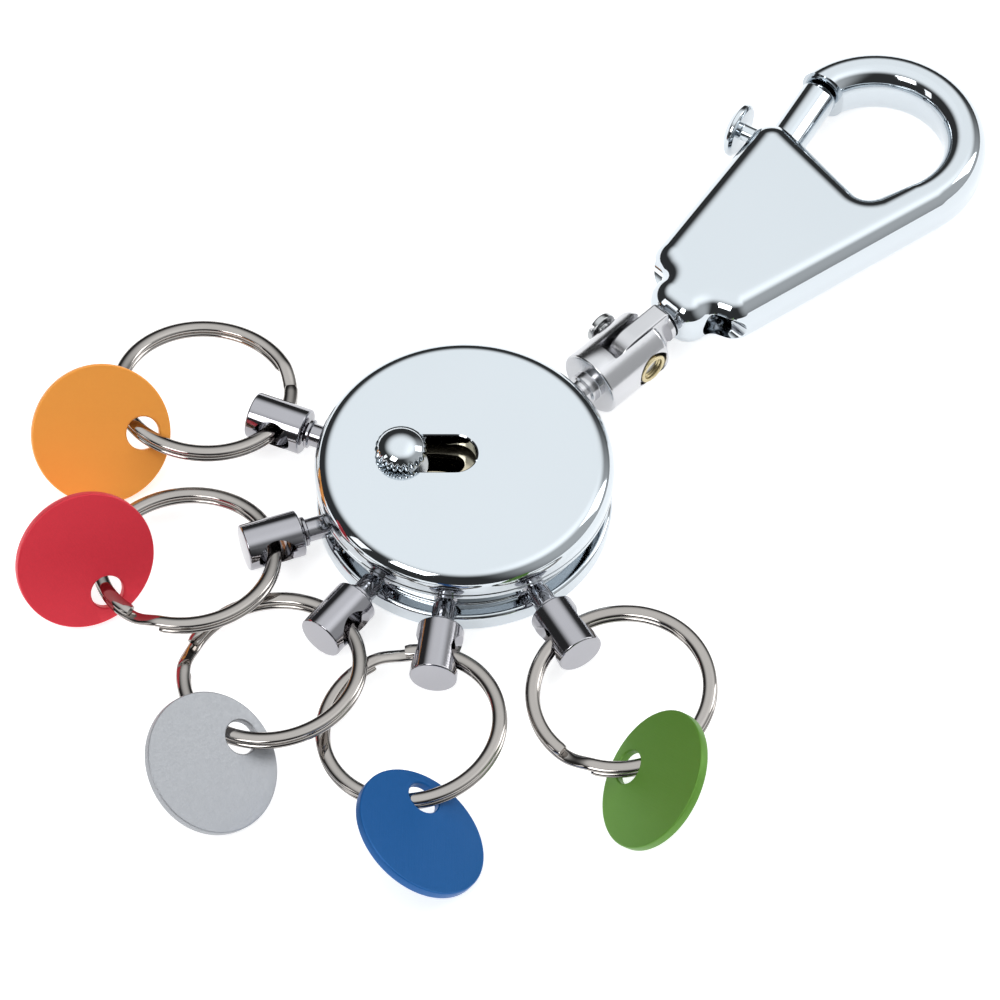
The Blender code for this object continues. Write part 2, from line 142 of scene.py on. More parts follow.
def turned(name, corners, matrix=None, steps=96, closed=False, step=15):
    # a lathe piece: corners are (radius, height, fillet) from top to bottom
    profile = roundCorners(corners, closed, step)
    verts, rows = [], []
    for r, z in profile:
        if r < 1e-6:
            rows.append([len(verts)] * steps)
            verts.append((0, 0, z))
            continue
        rows.append(list(range(len(verts), len(verts) + steps)))
        verts += [(r * cos(2 * pi * i / steps), r * sin(2 * pi * i / steps), z)
                  for i in range(steps)]
    if closed:
        rows.append(rows[0])
    return outward(addMesh(name, verts, bandFaces(rows), matrix))


def prism(name, layers, matrix=None):
    # flat outlines at rising heights, all with the same number of points
    count = len(layers[0][0])
    verts = [(x, y, z) for outline, z in layers for x, y in outline]
    faces = [list(range(count))[::-1]]
    for k in range(len(layers) - 1):
        for i in range(count):
            j = (i + 1) % count
            faces.append([k * count + i, k * count + j,
                          (k + 1) * count + j, (k + 1) * count + i])
    faces.append([(len(layers) - 1) * count + i for i in range(count)])
    return outward(addMesh(name, verts, faces, matrix))


def offsetOutline(points, inset, shares=None):
    # moves each point of a closed outline square to its edges, inwards when inset is positive
    count = len(points)
    area = sum(points[i][0] * points[(i + 1) % count][1]
               - points[(i + 1) % count][0] * points[i][1] for i in range(count))
    side = 1 if area > 0 else -1
    moved = []
    for i, here in enumerate(points):
        here = Vector(here)
        a = here - Vector(points[i - 1])
        b = Vector(points[(i + 1) % count]) - here
        if a.length < 1e-6:
            a = here - Vector(points[i - 2])
        if b.length < 1e-6:
            b = Vector(points[(i + 2) % count]) - here
        a, b = a.normalized(), b.normalized()
        normal = Vector((-(a.y + b.y), a.x + b.x)).normalized() * side
        lean = max(0.5, normal.dot(Vector((-a.y, a.x)) * side))
        share = shares[i] if shares else 1
        moved.append(tuple(here + normal * (inset * share / lean)))
    return moved


def pillowLayers(outline, low, high, edge, parts=7, shares=None):
    # layers of a plate whose top and bottom edges are rounded by edge
    layers = []
    for k in range(parts + 1):
        turn = pi / 2 * (1 - k / parts)
        layers.append((offsetOutline(outline, edge * (1 - cos(turn)), shares),
                       low + edge * (1 - sin(turn))))
    for k in range(parts + 1):
        turn = pi / 2 * k / parts
        layers.append((offsetOutline(outline, edge * (1 - cos(turn)), shares),
                       high - edge * (1 - sin(turn))))
    return layers


def roundedBlock(name, low, high, edge, matrix=None):
    # a block whose four upright edges are rounded
    outline = roundCorners([(low[0], low[1], edge), (high[0], low[1], edge),
                            (high[0], high[1], edge), (low[0], high[1], edge)], True, 20)
    return prism(name, [(outline, low[2]), (outline, high[2])], matrix)


def slotOutline(start, end, half, step=9):
    points = []
    for centre, first in ((end, -90), (start, 90)):
        points += [(centre + half * cos(radians(first + a)), half * sin(radians(first + a)))
                   for a in range(0, 181, step)]
    return points


def applyModifiers(item):
    bpy.context.view_layer.update()
    seen = item.evaluated_get(bpy.context.evaluated_depsgraph_get())
    mesh = bpy.data.meshes.new_from_object(seen)
    item.modifiers.clear()
    item.data = mesh


def combine(item, others, operation="DIFFERENCE"):
    for other in others:
        modifier = item.modifiers.new(other.name, "BOOLEAN")
        modifier.operation = operation
        modifier.solver = "EXACT"
        modifier.object = other
    applyModifiers(item)
    for other in others:
        bpy.data.objects.remove(other, do_unlink=True)
    return item


def softenEdges(item, width, segments=2, limit=38):
    modifier = item.modifiers.new("softened", "BEVEL")
    modifier.width = width * mm
    modifier.segments = segments
    modifier.limit_method = "ANGLE"
    modifier.angle_limit = radians(limit)
    modifier.harden_normals = False
    modifier.use_clamp_overlap = True
    applyModifiers(item)


def finishPiece(item, material, body, nodes, sharp=32):
    item.data.materials.clear()
    item.data.materials.append(material)
    item.data.shade_smooth()
    item.data.set_sharp_from_angle(angle=radians(sharp))
    weighted = item.modifiers.new("even shading", "WEIGHTED_NORMAL")
    weighted.keep_sharp = True
    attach(item, body)
    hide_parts(*nodes)


def linear(colour):
    return tuple((c / 255 / 12.92) if c <= 10 else ((c / 255 + 0.055) / 1.055) ** 2.4
                 for c in colour)


def newMaterial(name):
    material = bpy.data.materials.new(name)
    material.use_nodes = True
    nodes = material.node_tree.nodes
    return material, nodes, material.node_tree.links, nodes["Principled BSDF"]


def noiseOn(nodes, links, scale, stretch=(1, 1, 1), detail=3.0):
    place = nodes.new("ShaderNodeTexCoord")
    mapping = nodes.new("ShaderNodeMapping")
    mapping.inputs["Scale"].default_value = stretch
    noise = nodes.new("ShaderNodeTexNoise")
    noise.inputs["Scale"].default_value = scale
    noise.inputs["Detail"].default_value = detail
    links.new(place.outputs["Object"], mapping.inputs["Vector"])
    links.new(mapping.outputs["Vector"], noise.inputs["Vector"])
    return noise.outputs["Fac"]


def spread(nodes, links, value, low, high):
    ramp = nodes.new("ShaderNodeMapRange")
    ramp.inputs["From Min"].default_value = 0.3
    ramp.inputs["From Max"].default_value = 0.7
    ramp.inputs["To Min"].default_value = low
    ramp.inputs["To Max"].default_value = high
    links.new(value, ramp.inputs["Value"])
    return ramp.outputs["Result"]


def tinted(nodes, links, value, colour, other):
    mix = nodes.new("ShaderNodeMix")
    mix.data_type = "RGBA"
    mix.inputs[6].default_value = (*colour, 1)
    mix.inputs[7].default_value = (*other, 1)
    links.new(value, mix.inputs[0])
    return mix.outputs[2]


def bumpOn(nodes, links, height, strength, distance):
    bump = nodes.new("ShaderNodeBump")
    bump.inputs["Strength"].default_value = strength
    bump.inputs["Distance"].default_value = distance
    links.new(height, bump.inputs["Height"])
    return bump


def metalFinish(name, look):
    # plated or bare metal: faint patches in the gloss, fine marks in the surface
    material, nodes, links, shader = newMaterial(name)
    shader.inputs["Metallic"].default_value = 1.0
    patches = noiseOn(nodes, links, look["patchScale"])
    rough = spread(nodes, links, patches, look["gloss"][0], look["gloss"][1])
    links.new(rough, shader.inputs["Roughness"])
    base = linear(look["colour"])
    other = tuple(c * look["shade"] for c in base)
    links.new(tinted(nodes, links, patches, base, other), shader.inputs["Base Color"])
    marks = noiseOn(nodes, links, look["markScale"], look["markStretch"], 4.0)
    bump = bumpOn(nodes, links, marks, look["markDepth"], 0.02 * mm)
    links.new(bump.outputs["Normal"], shader.inputs["Normal"])
    return material


def anodisedFinish(name, look):
    # satin dyed aluminium: fine grain, a slightly brighter speckle
    material, nodes, links, shader = newMaterial(name)
    shader.inputs["Metallic"].default_value = look["metallic"]
    grain = noiseOn(nodes, links, 5200, detail=6.0)
    base = linear(look["colour"])
    other = tuple(min(1, c * look["speckle"]) for c in base)
    links.new(tinted(nodes, links, grain, base, other), shader.inputs["Base Color"])
    rough = spread(nodes, links, grain, look["gloss"][0], look["gloss"][1])
    links.new(rough, shader.inputs["Roughness"])
    brushed = noiseOn(nodes, links, 900, (0.15, 6, 1), 5.0)
    bump = bumpOn(nodes, links, brushed, look["grainDepth"], 0.02 * mm)
    second = bumpOn(nodes, links, grain, look["grainDepth"], 0.01 * mm)
    links.new(bump.outputs["Normal"], second.inputs["Normal"])
    links.new(second.outputs["Normal"], shader.inputs["Normal"])
    return material


metalLooks = {
    "chrome": dict(colour=(202, 208, 213), shade=0.97, patchScale=60, gloss=(0.045, 0.075),
                   markScale=900, markStretch=(1, 1, 1), markDepth=0.012),
    "darkChrome": dict(colour=(168, 167, 172), shade=0.88, patchScale=140, gloss=(0.08, 0.14),
                       markScale=700, markStretch=(1, 1, 9), markDepth=0.10),
    "ringSteel": dict(colour=(170, 165, 161), shade=0.86, patchScale=160, gloss=(0.06, 0.11),
                      markScale=900, markStretch=(1, 1, 1), markDepth=0.06),
    "brightSteel": dict(colour=(186, 187, 188), shade=0.9, patchScale=150, gloss=(0.16, 0.26),
                        markScale=900, markStretch=(1, 1, 6), markDepth=0.1),
    "satinNickel": dict(colour=(200, 200, 203), shade=0.92, patchScale=130, gloss=(0.16, 0.26),
                        markScale=800, markStretch=(1, 1, 9), markDepth=0.14),
    "warmNickel": dict(colour=(206, 196, 172), shade=0.85, patchScale=200, gloss=(0.2, 0.32),
                       markScale=800, markStretch=(1, 1, 1), markDepth=0.1),
    "brass": dict(colour=(206, 192, 152), shade=0.8, patchScale=400, gloss=(0.22, 0.36),
                  markScale=900, markStretch=(1, 1, 5), markDepth=0.15),
}
tagLooks = {
    "orange": dict(colour=(252, 163, 68), metallic=0.3, speckle=1.12, gloss=(0.40, 0.52),
                   grainDepth=0.5),
    "red": dict(colour=(216, 46, 62), metallic=0.3, speckle=1.2, gloss=(0.36, 0.48),
                grainDepth=0.5),
    "silver": dict(colour=(166, 168, 172), metallic=0.7, speckle=1.05, gloss=(0.42, 0.54),
                   grainDepth=0.5),
    "blue": dict(colour=(4, 86, 152), metallic=0.3, speckle=1.2, gloss=(0.34, 0.46),
                 grainDepth=0.5),
    "green": dict(colour=(92, 140, 48), metallic=0.3, speckle=1.2, gloss=(0.38, 0.5),
                  grainDepth=0.5),
}
finishes = {name: metalFinish(name, look) for name, look in metalLooks.items()}
tagFinishes = {name: anodisedFinish(name + "Anodised", look) for name, look in tagLooks.items()}
print("finishes made")


drum = dict(flangeRadius=15.8, flangeTop=2.35, wallRadius=14.0, boreRadius=11.6, floorTop=1.2,
            wallTop=7.5, coverRadius=15.9, coverTop=9.4, coverUnder=7.8, skirt=5.95, fillet=1.9,
            seam=6.75, seamDepth=0.12, slotHalf=2.3, slotEnds=(-8.9, 1.3), slotOffset=0.5,
            plugReach=21.5, plugBore=1.4, forkBore=1.65, boreFlare=0.35, boreFlareAt=13.75,
            footWidth=1.4, footStep=0.3, footDepth=0.25, centreRadius=3, slotFlare=0.22)
baseScrew = dict(hole=0.95, sinkRadius=1.8, sinkFrom=1.1, shank=0.65, top=8.5, headRadius=1.4,
                 driverHalf=0.18, turnEach=37)


def plugFrame(colour):
    # Z out along the pin, X towards its left, at the cross hole
    spin = joints["spin_" + colour]
    left = Vector((0, 0, 1)).cross(Vector(spin["axis"]))
    return axesMatrix(spin["pos_m"], left, spin["axis"])


def slideFrame():
    slide = joints["slider_slide"]
    matrix = axesMatrix((0, 0, 0), slide["axis"], (0, 0, 1))
    return matrix @ Matrix.Translation((0, drum["slotOffset"] * mm, 0))


def flaredBore(radius, matrix, steps):
    # a radial bore through the drum's wall, wider where it comes out
    d = drum
    wide = radius + d["boreFlare"]
    out = d["boreFlareAt"] + d["boreFlare"]
    return turned("bore", [(0, 18, 0), (wide, 18, 0), (wide, out, 0),
                           (radius, d["boreFlareAt"], 0), (radius, 9, 0), (0, 9, 0)],
                  matrix, steps)


def screwPlace(index):
    centre = nodeCentre(f"base_screw_{index}")
    centre.z = 0
    return Matrix.Translation(centre)


def makeBase():
    d = drum
    foot = d["flangeRadius"] - d["footWidth"]
    corners = [(0, d["floorTop"], 0), (d["boreRadius"], d["floorTop"], 0.3),
               (d["boreRadius"], d["wallTop"], 0.15), (d["wallRadius"], d["wallTop"], 0.15),
               (d["wallRadius"], d["flangeTop"], 0.25), (d["flangeRadius"], d["flangeTop"], 0.55),
               (d["flangeRadius"], 0, 0.55), (foot, 0, 0.15),
               (foot - d["footStep"], d["footDepth"], 0.15),
               (d["centreRadius"], d["footDepth"], 0.1), (d["centreRadius"] - 0.4, 0, 0.1),
               (0, 0, 0)]
    base = turned("drumBase", corners, steps=192)
    tools = []
    for colour in tagColours:
        inward = plugFrame(colour) @ Matrix.Translation((0, 0, -d["plugReach"] * mm))
        tools.append(flaredBore(d["plugBore"], inward, 32))
    stemHeight = joints["fork_spin"]["pos_m"][2]
    stem = axesMatrix((0, 0, stemHeight), (0, 1, 0), (1, 0, 0))
    tools.append(flaredBore(d["forkBore"], stem, 40))
    b = baseScrew
    for index in (1, 2, 3):
        tools.append(turned("sink", [(0, 9, 0), (b["hole"], 9, 0), (b["hole"], b["sinkFrom"], 0),
                                     (b["sinkRadius"], 0.2, 0), (b["sinkRadius"], -1, 0),
                                     (0, -1, 0)], screwPlace(index), 32))
    combine(base, tools)
    finishPiece(base, finishes["chrome"], "drum", ["housing_base"], 40)


def makeCover():
    d = drum
    inner = d["wallRadius"] + 0.3
    corners = [(0, d["coverTop"], 0), (d["coverRadius"], d["coverTop"], d["fillet"]),
               (d["coverRadius"], d["seam"] + d["seamDepth"], 0.05),
               (d["coverRadius"] - d["seamDepth"], d["seam"], 0.03),
               (d["coverRadius"], d["seam"] - d["seamDepth"], 0.05),
               (d["coverRadius"], d["skirt"], 0.3),
               (inner, d["skirt"], 0.1), (inner, d["coverUnder"], 0.1),
               (0, d["coverUnder"], 0)]
    cover = turned("drumCover", corners, steps=240, step=9)
    half = d["slotHalf"]
    outline = slotOutline(d["slotEnds"][0] + half, d["slotEnds"][1] - half, half, 6)
    flare = offsetOutline(outline, -d["slotFlare"])
    layers = [(outline, 7), (outline, d["coverTop"] - 0.25),
              (offsetOutline(outline, -0.07), d["coverTop"] - 0.1),
              (flare, d["coverTop"] + 0.02), (flare, 10.5)]
    combine(cover, [prism("slotTool", layers, slideFrame())])
    finishPiece(cover, finishes["chrome"], "drum", ["top_cover"], 18)


def makeScrews():
    b = baseScrew
    for index in (1, 2, 3):
        place = screwPlace(index)
        screw = turned(f"baseScrew{index}",
                       [(0, b["top"], 0), (b["shank"], b["top"], 0.1), (b["shank"], 1.0, 0.1),
                        (b["headRadius"], 0.25, 0.1), (b["headRadius"], 0.02, 0.08),
                        (0, 0.02, 0)], place, 40)
        turn = place @ turnAbout("Z", radians(b["turnEach"] * index))
        combine(screw, [roundedBlock("driver", (-2, -b["driverHalf"], -1),
                                     (2, b["driverHalf"], 0.35), 0.02, turn)])
        finishPiece(screw, finishes["brightSteel"], "drum", [f"base_screw_{index}"])


makeBase()
makeCover()
makeScrews()
print("drum made")


slider = dict(reach=-6.7, radius=2.8, tooth=0.3, teeth=24, toothSharp=0.8, toothSteps=8,
              low=9.7, waist=10.05, top=11.85, crownSteps=16, knurlFrom=11,
              neck=1.9, neckEnd=8.05, stem=0.8, stemEnd=6.3,
              washerInner=1.1, washerOuter=2.9, washerTop=7.5, washerLow=7.2)


def makeSlider():
    s = slider
    rows = []
    around = s["teeth"] * s["toothSteps"]
    high = s["top"] - s["waist"]
    # the profile is (radius, height, how deep the knurl is there)
    profile = [(0.0, s["top"], 0.0)]
    for k in range(1, s["crownSteps"] + 1):
        turn = radians(90 * k / s["crownSteps"])
        profile.append((s["radius"] * sin(turn), s["waist"] + high * cos(turn),
                        min(1.0, max(0.0, (k - s["knurlFrom"]) / 3))))
    profile += [(s["radius"] - 0.05, s["low"] + 0.15, 1.0),
                (s["radius"] - 0.4, s["low"], 0.6), (s["neck"], s["low"], 0.0),
                (s["neck"], s["neckEnd"], 0.0), (s["stem"], s["neckEnd"] - 0.05, 0.0),
                (s["stem"], s["stemEnd"], 0.0), (0.0, s["stemEnd"], 0.0)]
    verts = []
    for r, z, knurl in profile:
        if r == 0:
            rows.append([len(verts)] * around)
            verts.append((0, 0, z))
            continue
        rows.append(list(range(len(verts), len(verts) + around)))
        for i in range(around):
            angle = 2 * pi * i / around
            ridge = abs(cos(angle * s["teeth"] / 2)) ** s["toothSharp"]
            radius = r - knurl * s["tooth"] * (1 - ridge)
            verts.append((radius * cos(angle), radius * sin(angle), z))
    place = slideFrame() @ Matrix.Translation((s["reach"] * mm, 0, 0))
    button = outward(addMesh("sliderButton", verts, bandFaces(rows), place))
    finishPiece(button, finishes["chrome"], "slider", ["slider_button"], 50)
    ends = (s["washerTop"], s["washerLow"])
    corners = [(s["washerInner"], ends[0], 0.08), (s["washerOuter"], ends[0], 0.08),
               (s["washerOuter"], ends[1], 0.08), (s["washerInner"], ends[1], 0.08)]
    washer = turned("sliderWasher", corners, place, 64, closed=True)
    finishPiece(washer, finishes["brightSteel"], "slider", ["slider_washer"])


makeSlider()
print("slider made")


plug = dict(pin=1.25, neck=0.95, collar=0.35, cap=1.1, waist=0.75, end=-11.6,
            head=2.5, half=3.1, hole=1.7, flare=0.45, socket=1.05, socketWide=1.4)


def makePlug(colour):
    p = plug
    matrix = plugFrame(colour)
    end, collar = p["end"], p["pin"] + p["collar"]
    # from the cap inside the head, past the collar and the locking neck, to the rounded end
    stem = [(0, -2.2, 0), (p["cap"], -2.2, 0.1), (p["cap"], -2.5, 0.1), (p["waist"], -2.5, 0.1),
            (p["waist"], -3.4, 0), (collar, -3.4, 0.1), (collar, -3.75, 0.1),
            (p["pin"], -3.85, 0.05),
            (p["pin"], -5.9, 0.08), (p["neck"], -6.05, 0.1), (p["neck"], -6.7, 0.1),
            (p["pin"], -6.85, 0.08), (p["pin"], end + 1.6, 0.1),
            (p["waist"], end + 1.5, 0.2), (p["waist"], end, 0.2), (p["pin"], end - 0.1, 0.15),
            (p["pin"], end - 1.4, 0.4), (0.5, end - 2.1, 0.2), (0, end - 2.1, 0)]
    pin = turned("plugStem_" + colour, stem, matrix, 56)
    finishPiece(pin, finishes["darkChrome"], "pin_" + colour, ["plug_stem_" + colour])
    shell = [(0, p["half"], 0), (p["head"], p["half"], 0.22), (p["head"], -p["half"], 0.22),
             (p["socket"], -p["half"], 0.15), (p["socket"], -2.8, 0), (p["socketWide"], -2.8, 0),
             (p["socketWide"], -1.95, 0), (0, -1.95, 0)]
    head = turned("plugHead_" + colour, shell, matrix, 88)
    swing = joints["swing_" + colour]
    across = axesMatrix(swing["pos_m"], joints["spin_" + colour]["axis"], swing["axis"])
    wide = p["hole"] + p["flare"]
    tool = turned("crossHole", [(0, 4, 0), (wide + 0.5, 4, 0), (wide, 2.5, 0.3),
                                (p["hole"], 1.7, 0.5), (p["hole"], -1.7, 0.5),
                                (wide, -2.5, 0.3), (wide + 0.5, -4, 0), (0, -4, 0)], across, 56)
    combine(head, [tool])
    finishPiece(head, finishes["darkChrome"], "head_" + colour, ["plug_head_" + colour],
                36)


for colourName in tagColours:
    makePlug(colourName)
print("plugs made")


splitRing = dict(outer=10.0, wide=1.5, high=1.6, gap=0.02, squareness=2.0, climbHalf=11.0,
                 steps=250, sectionSteps=28, endTaper=0.86,
                 climbAt=dict(orange=330, red=199, silver=120, blue=60, green=194))


def ringFrame(colour):
    # Z square to the ring, X from its centre towards the plug's hole
    swing = joints["swing_" + colour]
    hole = Vector(swing["pos_m"])
    centre = nodeCentre("split_ring_" + colour)
    out = (centre - hole).normalized()
    normal = out.cross(wireDirection(colour, out)).normalized()
    if normal.z < 0:
        normal.negate()
    return axesMatrix(centre, -out, normal)


def wireDirection(colour, out):
    # the wire's own direction at the hole, square to the ring's centre line
    tag = Vector(joints["tag_swing_" + colour]["pos_m"])
    hole = Vector(joints["swing_" + colour]["pos_m"])
    return (tag - hole) - out * (tag - hole).dot(out)


def flattenedRound(halfWide, halfHigh, squareness, angle):
    c, w = cos(angle), sin(angle)
    power = 2 / squareness
    return (math.copysign(abs(c) ** power, c) * halfWide,
            math.copysign(abs(w) ** power, w) * halfHigh)


def makeRing(colour):
    s = splitRing
    matrix = ringFrame(colour)
    halfWide, layer = s["wide"] / 2, s["high"] / 4
    thick = s["high"] / 2 - s["gap"]
    size = s["sectionSteps"]
    section = [flattenedRound(halfWide, thick / 2, s["squareness"], 2 * pi * k / size)
               for k in range(size)]
    mean = s["outer"] - halfWide
    start = radians(s["climbHalf"])
    # the climb is placed by a direction on the drum's own plan
    heading = radians(s["climbAt"][colour])
    plan = Vector((cos(heading), sin(heading), 0))
    local = matrix.to_3x3().inverted() @ plan
    offset = math.atan2(local.y, local.x)
    count = s["steps"]
    verts, faces = [], []
    for i in range(count + 1):
        theta = start + (4 * pi - 2 * start) * i / count
        t = min(1, max(0, (theta - (2 * pi - start)) / (2 * start)))
        lift = (-1 + 2 * t * t * (3 - 2 * t)) * layer
        taper = s["endTaper"] if i in (0, count) else 1.0
        for u, v in section:
            r = mean + u * taper
            verts.append((r * cos(theta + offset), r * sin(theta + offset), lift + v * taper))
    for i in range(count):
        for k in range(size):
            n = (k + 1) % size
            faces.append([i * size + k, i * size + n, (i + 1) * size + n, (i + 1) * size + k])
    faces.append(list(range(size))[::-1])
    faces.append([count * size + k for k in range(size)])
    ring = outward(addMesh("splitRing_" + colour, verts, faces, matrix))
    finishPiece(ring, finishes["ringSteel"], "ring_" + colour, ["split_ring_" + colour],
                60)


for colourName in tagColours:
    makeRing(colourName)
print("rings made")


tag = dict(radius=7.5, thick=1.0, hole=1.8, edge=0.16, holeEdge=0.14, arm=4.5)


def tagFrame(colour):
    # Z square to the tag, X from its hole towards its middle, taken from the solid itself
    solid = frame["nodes"]["tag_" + colour].data
    verts = [v.co.copy() for v in solid.vertices]
    hole = Vector(joints["tag_swing_" + colour]["pos_m"])
    reach = sorted(verts, key=lambda v: (v - hole).length)[-1]
    normal = max(solid.polygons, key=lambda face: face.area).normal.copy()
    if normal.z < 0:
        normal.negate()
    out = reach - hole
    out = out - normal * out.dot(normal)
    return axesMatrix(hole, out, normal)


def makeTag(colour):
    t = tag
    matrix = tagFrame(colour)
    middle = matrix @ Matrix.Translation((t["arm"] * mm, 0, 0))
    half = t["thick"] / 2
    disc = turned("tag_plate_" + colour, [(0, half, 0), (t["radius"], half, t["edge"]),
                                          (t["radius"], -half, t["edge"]), (0, -half, 0)],
                  middle, 160, step=30)
    rim, deep = t["hole"] + t["holeEdge"], half - t["holeEdge"]
    tool = turned("tagHole", [(0, 2, 0), (rim + 0.6, 2, 0), (rim, half, 0), (t["hole"], deep, 0),
                              (t["hole"], -deep, 0), (rim, -half, 0), (rim + 0.6, -2, 0),
                              (0, -2, 0)], matrix, 64)
    combine(disc, [tool])
    finishPiece(disc, tagFinishes[colour], "tag_" + colour, ["tag_" + colour], 36)


for colourName in tagColours:
    makeTag(colourName)
print("tags made")


fork = dict(radius=3.75, start=19.0, end=27.9, slotBottom=21.6, slotHalf=1.4, softened=0.14,
            stem=[(1.75, 18.0, 0.1), (1.4, 17.8, 0.1), (1.4, 17.3, 0.1), (1.75, 17.1, 0.1),
                  (1.75, 16.3, 0.1), (1.35, 16.3, 0.05), (1.35, 11.3, 0.05), (1.0, 11.3, 0.05),
                  (1.0, 10.2, 0.05), (1.35, 10.2, 0.1), (1.35, 9.6, 0.1), (0, 9.6, 0)],
            farBore=[(0, 6, 0), (1.6, 6, 0), (1.6, 3.65, 0), (1.25, 3.3, 0), (1.25, 0, 0),
                     (0, 0, 0)],
            nearBore=[(0, 0, 0), (2.05, 0, 0), (2.05, -3.2, 0), (2.3, -3.6, 0), (2.3, -6, 0),
                      (0, -6, 0)],
            screw=[(0, 4.9, 0), (1.8, 4.9, 0.3), (1.8, 4.05, 0.12), (0.95, 4.05, 0.1),
                   (0.95, -3.0, 0.2), (0, -3.0, 0)], driverHalf=0.28, driverTurn=40,
            bush=[(1.75, -3.5, 0.12), (1.75, -1.8, 0.1), (1.25, -1.8, 0.05)],
            threadRadius=1.25, threadDepth=0.12, threadStep=0.14, threadCount=11)
tongue = dict(half=1.1, high=3.2, end=30.3, edge=0.3, boreRadius=1.3,
              stud=[(0, 35.2, 0), (1.8, 35.2, 0.55), (1.8, 34.2, 0.1), (1.3, 34.2, 0),
                    (1.3, 30.9, 0.1), (1.9, 30.6, 0.15), (1.9, 30.0, 0), (0, 30.0, 0)])


def clipAxis():
    return axesMatrix((0, 0, joints["clip_swivel"]["pos_m"][2]), (0, 1, 0), (1, 0, 0))


def hingeFrame():
    hinge = joints["tongue_fold"]
    return axesMatrix(hinge["pos_m"], (1, 0, 0), (0, 1, 0))


def makeFork():
    f = fork
    barrel = [(0, f["end"], 0), (f["radius"], f["end"], 0.7), (f["radius"], f["start"], 0.3),
              (f["stem"][0][0], f["start"], 0.1)]
    body = turned("forkBody", barrel + f["stem"], clipAxis(), 112)
    z = joints["tongue_fold"]["pos_m"][2] / mm
    hinge = hingeFrame()
    tools = [roundedBlock("forkSlot", (f["slotBottom"], -f["slotHalf"], z - 6),
                          (f["end"] + 3, f["slotHalf"], z + 6), 0.25),
             turned("farBore", f["farBore"], hinge, 40),
             turned("nearBore", f["nearBore"], hinge, 48)]
    combine(body, tools)
    softenEdges(body, f["softened"], 2, 50)
    finishPiece(body, finishes["satinNickel"], "fork", ["fork"], 36)

    screw = turned("forkScrew", f["screw"], hinge, 56)
    driver = roundedBlock("driver", (-3, -f["driverHalf"], 4.4), (3, f["driverHalf"], 6), 0.03,
                          hinge @ turnAbout("Z", radians(f["driverTurn"])))
    combine(screw, [driver])
    finishPiece(screw, finishes["brightSteel"], "fork", ["fork_screw"])

    # the bush: a turned flange and a threaded bore
    threads = [(f["threadRadius"] + (f["threadDepth"] if k % 2 else 0.0),
                -1.9 - f["threadStep"] * k, 0) for k in range(f["threadCount"])]
    corners = f["bush"] + threads + [(1.32, -3.5, 0.08)]
    bush = turned("forkBush", corners[::-1], hinge, 56, closed=True)
    finishPiece(bush, finishes["brass"], "fork", ["fork_bush"], 60)


def makeTongue():
    t = tongue
    hinge = hingeFrame()
    reach = t["end"] - joints["tongue_fold"]["pos_m"][0] / mm
    arc = [(-t["high"] * sin(radians(a)), t["high"] * cos(radians(a))) for a in range(0, 181, 6)]
    outline = arc + roundCorners([(0, -t["high"], 0), (reach, -t["high"], 0.5),
                                  (reach, t["high"], 0.5), (0, t["high"], 0)])[1:-1]
    layers = pillowLayers(outline, -t["half"], t["half"], t["edge"], 4)
    blade = prism("tongueBlade", layers, hinge)
    combine(blade, [turned("stud", t["stud"], clipAxis(), 56)], "UNION")
    bore = turned("tongueBore", [(0, 3, 0), (t["boreRadius"], 3, 0), (t["boreRadius"], -3, 0),
                                 (0, -3, 0)], hinge, 40)
    combine(blade, [bore])
    finishPiece(blade, finishes["satinNickel"], "tongue", ["tongue"], 40)


makeFork()
makeTongue()
print("fork and tongue made")


clip = dict(low=0.7, high=7.3, edge=2.7, hookShare=0.74, lobeX=33.5, lobeRadius=2.8,
            hookCentre=(65.0, 0.1), hookOuter=12.0, hookInner=7.3, noseRun=3.0,
            gateFront=(59.8, 8.2), gateRadius=2.15, gateTip=6.3, gateTail=-8.5, tailEnd=-10.5,
            tailRadius=1.1, gateBore=2.45, knobBack=-2.5, knobSlotHalf=1.2, travel=6.0,
            windowAt=34.7, windowRadius=1.75, knobDome=2.85, knobTop=5.6,
            rightSide=[(33.5, -3.7, 0), (34.15, -3.7, 1.0), (35.3, -6.65, 2.85),
                       (62.8, -11.7, 0)],
            leftSide=[(62.4, -6.7, 0), (57.3, -4.8, 1.8), (59.3, 11.4, 2.85),
                      (35.3, 6.65, 2.85), (34.15, 3.7, 1.0), (33.5, 3.7, 0)])


def arcPoints(centre, radius, start, end, step=4):
    parts = max(2, math.ceil(abs(end - start) / step))
    return [(centre[0] + radius * cos(radians(start + (end - start) * k / parts)),
             centre[1] + radius * sin(radians(start + (end - start) * k / parts)))
            for k in range(parts + 1)]


def clipOutline():
    # lobe, waist, tapered body, hook, eye: the widest line of the casting
    c = clip
    lobe = (arcPoints((c["lobeX"], 0.9), c["lobeRadius"], 90, 180, 7)
            + arcPoints((c["lobeX"], -0.9), c["lobeRadius"], 180, 270, 7))
    right = roundCorners(c["rightSide"], False, 7)[1:-1]
    left = roundCorners(c["leftSide"], False, 7)[1:-1]
    hook = arcPoints(c["hookCentre"], c["hookOuter"], -100.7, 87)
    eye = arcPoints(c["hookCentre"], c["hookInner"], 74, -111)
    # two straight stretches run past the nose, where the cutter trims them
    hook.append((hook[-1][0] - c["noseRun"], hook[-1][1]))
    eye.insert(0, (eye[0][0] - c["noseRun"], eye[0][1] + 0.4))
    shares = [1] * len(lobe + right) + [c["hookShare"]] * len(hook + eye) + [1] * len(left)
    return lobe + right + hook + eye + left, shares


